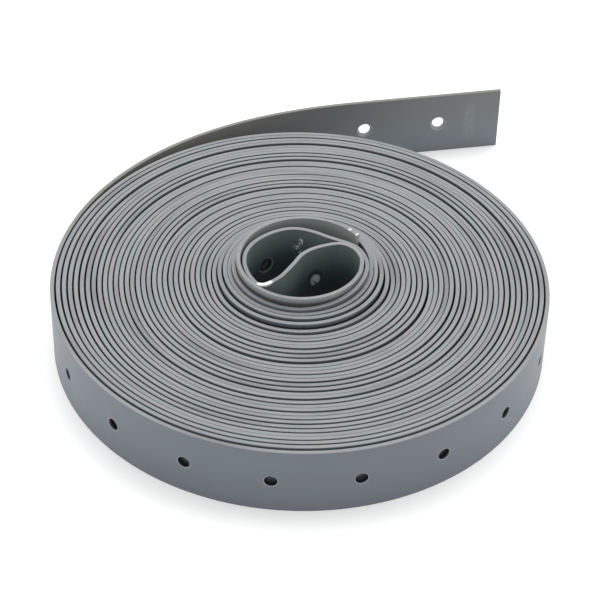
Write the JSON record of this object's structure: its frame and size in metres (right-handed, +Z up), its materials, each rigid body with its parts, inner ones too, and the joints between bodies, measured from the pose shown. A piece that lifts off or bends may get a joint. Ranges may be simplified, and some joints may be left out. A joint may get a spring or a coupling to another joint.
{
  "type": "plastic hanger strap roll",
  "caption": "Roll of flat perforated plastic strap with a folded core and a loose, nail-ready tail, for hanging pipe and cable.",
  "frame": {"origin": "middle of the roll's footprint, tail included, on the level surface that it lies on", "axes": "+Z up along the winding axis, +Y from the roll towards its loose tail, +X towards the tail's cut end"},
  "size_m": [0.126, 0.1478, 0.0257],
  "materials": {
    "grey_plastic": "satin extruded grey plastic, lighter along its slit edges and round its punched holes"
  },
  "bodies": {
    "root": {"hanger_strap": "grey_plastic"}
  },
  "joints": []
}
